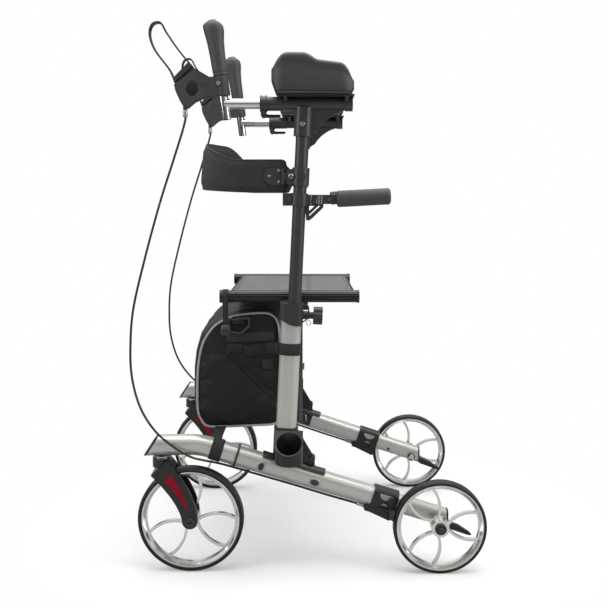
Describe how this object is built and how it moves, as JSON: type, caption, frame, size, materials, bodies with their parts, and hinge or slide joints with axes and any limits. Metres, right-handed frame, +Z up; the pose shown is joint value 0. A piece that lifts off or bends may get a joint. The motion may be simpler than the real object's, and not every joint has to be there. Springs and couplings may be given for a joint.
{
  "type": "upright walker",
  "caption": "Folding upright walker with wheels, forearm rests on sliding posts, leaning handles with loop brakes, a cross brace, a mesh seat, a bag and a back belt.",
  "frame": {"origin": "floor, under the middle of the overall length and width", "axes": "+Z up; +X to the rear, where the user walks; the walker faces -X; +Y to the walker's right"},
  "size_m": [0.7739, 0.6606, 1.192],
  "materials": {
    "silver_paint": "satin silver-grey paint",
    "black_paint": "satin black paint",
    "black_plastic": "fine-grained moulded charcoal plastic",
    "soft_pad": "moulded soft foam with a fine grain",
    "grip_rubber": "matt moulded rubber",
    "cable_sheath": "smooth black sheath",
    "chrome": "polished chrome",
    "steel": "zinc-plated",
    "rim_plastic": "pale moulded plastic",
    "tyre": "soft grey-black tyre",
    "red_insert": "dark red gloss insert",
    "seat_mesh": "grey open-weave mesh",
    "bag_cloth": "black woven nylon",
    "belt_pad": "black padded cloth with bound edges",
    "webbing": "black webbing"
  },
  "bodies": {
    "left_frame": {"left_leg_tube": "silver_paint", "left_leg_fittings": "black_plastic", "left_upright": "silver_paint", "left_base_bracket": "black_plastic", "left_post_collar": "black_plastic", "left_brake_cable": "cable_sheath", "bag": "bag_cloth"},
    "brace_a": {"brace_a": "black_paint", "right_seat_rail": "black_paint", "brace_bolt": "steel"},
    "brace_b": {"brace_b": "black_paint", "left_seat_rail": "black_paint", "seat_fabric": "seat_mesh", "fold_strap": "webbing"},
    "right_frame": {"right_leg_tube": "silver_paint", "right_leg_fittings": "black_plastic", "right_upright": "silver_paint", "right_base_bracket": "black_plastic", "right_post_collar": "black_plastic", "right_brake_cable": "cable_sheath"},
    "left_post": {"left_post": "black_paint", "left_arm_bracket": "black_plastic", "left_arm_pad": "soft_pad", "left_assist_bracket": "black_plastic", "left_belt_clamp": "black_plastic", "back_belt": "belt_pad"},
    "left_handle": {"left_handle_tube": "chrome", "left_hand_grip": "grip_rubber", "left_brake_housing": "black_plastic"},
    "left_brake_lever": {"left_brake_lever": "black_plastic"},
    "left_clamp_lever": {"left_clamp_lever": "black_plastic"},
    "left_height_knob": {"left_height_knob": "black_plastic"},
    "left_assist_handle": {"left_assist_handle": "grip_rubber"},
    "left_brake_shoe": {"left_brake_shoe": "black_plastic"},
    "left_caster": {"left_caster_fork": "black_plastic", "left_reflector": "red_insert"},
    "left_front_wheel": {"left_front_rim": "rim_plastic", "left_front_tyre": "tyre"},
    "left_rear_wheel": {"left_rear_rim": "rim_plastic", "left_rear_tyre": "tyre"},
    "right_post": {"right_post": "black_paint", "right_arm_bracket": "black_plastic", "right_arm_pad": "soft_pad", "right_assist_bracket": "black_plastic", "right_belt_clamp": "black_plastic"},
    "right_handle": {"right_handle_tube": "chrome", "right_hand_grip": "grip_rubber", "right_brake_housing": "black_plastic"},
    "right_brake_lever": {"right_brake_lever": "black_plastic"},
    "right_clamp_lever": {"right_clamp_lever": "black_plastic"},
    "right_height_knob": {"right_height_knob": "black_plastic"},
    "right_assist_handle": {"right_assist_handle": "grip_rubber"},
    "right_brake_shoe": {"right_brake_shoe": "black_plastic"},
    "right_caster": {"right_caster_fork": "black_plastic", "right_reflector": "red_insert"},
    "right_front_wheel": {"right_front_rim": "rim_plastic", "right_front_tyre": "tyre"},
    "right_rear_wheel": {"right_rear_rim": "rim_plastic", "right_rear_tyre": "tyre"}
  },
  "joints": [
    {"name": "fold", "type": "hinge", "parent": "left_frame", "child": "brace_a", "pos_m": [-0.02475, -0.22, 0.212], "axis": [1, 0, 0], "range_deg": [0, 40], "deforming": ["seat_fabric", "bag", "back_belt"]},
    {"name": "brace_cross", "type": "hinge", "parent": "brace_a", "child": "brace_b", "pos_m": [-0.02475, 0, 0.39781], "axis": [1, 0, 0], "range_deg": [-80, 0]},
    {"name": "right_frame_pivot", "type": "hinge", "parent": "brace_b", "child": "right_frame", "pos_m": [-0.02475, 0.22, 0.212], "axis": [1, 0, 0], "range_deg": [0, 40]},
    {"name": "left_post_slide", "type": "slide", "parent": "left_frame", "child": "left_post", "axis": [0.048, 0, 0.9988], "range_m": [-0.06, 0.12], "deforming": ["left_brake_cable"]},
    {"name": "left_handle_slide", "type": "slide", "parent": "left_post", "child": "left_handle", "axis": [-1, 0, 0], "range_m": [-0.055, 0.06]},
    {"name": "left_lever_squeeze", "type": "hinge", "parent": "left_handle", "child": "left_brake_lever", "pos_m": [-0.22225, -0.25, 1.05703], "axis": [0, 1, 0], "range_deg": [0, 16], "stiffness_Nm_per_rad": 2, "springref_deg": -11.46},
    {"name": "left_shoe_swing", "type": "hinge", "parent": "left_frame", "child": "left_brake_shoe", "pos_m": [0.18341, -0.26658, 0.15033], "axis": [0, -1, 0], "range_deg": [0, 3.3]},
    {"name": "left_clamp_swing", "type": "hinge", "parent": "left_post", "child": "left_clamp_lever", "pos_m": [-0.09625, -0.25, 0.99103], "axis": [0, 1, 0], "range_deg": [0, 100]},
    {"name": "left_knob_turn", "type": "hinge", "parent": "left_frame", "child": "left_height_knob", "pos_m": [-0.03728, -0.25, 0.56164], "axis": [0.9988, 0, -0.048], "range_deg": [0, 360]},
    {"name": "left_assist_fold", "type": "hinge", "parent": "left_post", "child": "left_assist_handle", "pos_m": [0.04475, -0.25, 0.81135], "axis": [0, -1, 0], "range_deg": [0, 90]},
    {"name": "left_caster_swivel", "type": "hinge", "parent": "left_frame", "child": "left_caster", "pos_m": [-0.31925, -0.271, 0.26], "axis": [0, 0, 1], "continuous": true},
    {"name": "left_front_roll", "type": "hinge", "parent": "left_caster", "child": "left_front_wheel", "pos_m": [-0.25725, -0.271, 0.1155], "axis": [0, 1, 0], "continuous": true},
    {"name": "left_rear_roll", "type": "hinge", "parent": "left_frame", "child": "left_rear_wheel", "pos_m": [0.28525, -0.284, 0.1015], "axis": [0, 1, 0], "continuous": true},
    {"name": "right_post_slide", "type": "slide", "parent": "right_frame", "child": "right_post", "axis": [0.048, 0, 0.9988], "range_m": [-0.06, 0.12], "deforming": ["right_brake_cable"]},
    {"name": "right_handle_slide", "type": "slide", "parent": "right_post", "child": "right_handle", "axis": [-1, 0, 0], "range_m": [-0.055, 0.06]},
    {"name": "right_lever_squeeze", "type": "hinge", "parent": "right_handle", "child": "right_brake_lever", "pos_m": [-0.22225, 0.25, 1.05703], "axis": [0, 1, 0], "range_deg": [0, 16], "stiffness_Nm_per_rad": 2, "springref_deg": -11.46},
    {"name": "right_shoe_swing", "type": "hinge", "parent": "right_frame", "child": "right_brake_shoe", "pos_m": [0.18341, 0.26658, 0.15033], "axis": [0, -1, 0], "range_deg": [0, 3.3]},
    {"name": "right_clamp_swing", "type": "hinge", "parent": "right_post", "child": "right_clamp_lever", "pos_m": [-0.09625, 0.25, 0.99103], "axis": [0, 1, 0], "range_deg": [0, 100]},
    {"name": "right_knob_turn", "type": "hinge", "parent": "right_frame", "child": "right_height_knob", "pos_m": [-0.03728, 0.25, 0.56164], "axis": [0.9988, 0, -0.048], "range_deg": [0, 360]},
    {"name": "right_assist_fold", "type": "hinge", "parent": "right_post", "child": "right_assist_handle", "pos_m": [0.04475, 0.25, 0.81135], "axis": [0, -1, 0], "range_deg": [0, 90]},
    {"name": "right_caster_swivel", "type": "hinge", "parent": "right_frame", "child": "right_caster", "pos_m": [-0.31925, 0.271, 0.26], "axis": [0, 0, 1], "continuous": true},
    {"name": "right_front_roll", "type": "hinge", "parent": "right_caster", "child": "right_front_wheel", "pos_m": [-0.25725, 0.271, 0.1155], "axis": [0, 1, 0], "continuous": true},
    {"name": "right_rear_roll", "type": "hinge", "parent": "right_frame", "child": "right_rear_wheel", "pos_m": [0.28525, 0.284, 0.1015], "axis": [0, 1, 0], "continuous": true}
  ],
  "couplings": [
    {"joint": "brace_cross", "follows": "fold", "ratio": -2},
    {"joint": "right_frame_pivot", "follows": "fold", "ratio": 1},
    {"joint": "left_shoe_swing", "follows": "left_lever_squeeze", "ratio": 0.2},
    {"joint": "right_shoe_swing", "follows": "right_lever_squeeze", "ratio": 0.2},
    {"joint": "right_post_slide", "follows": "left_post_slide", "ratio": 1}
  ]
}
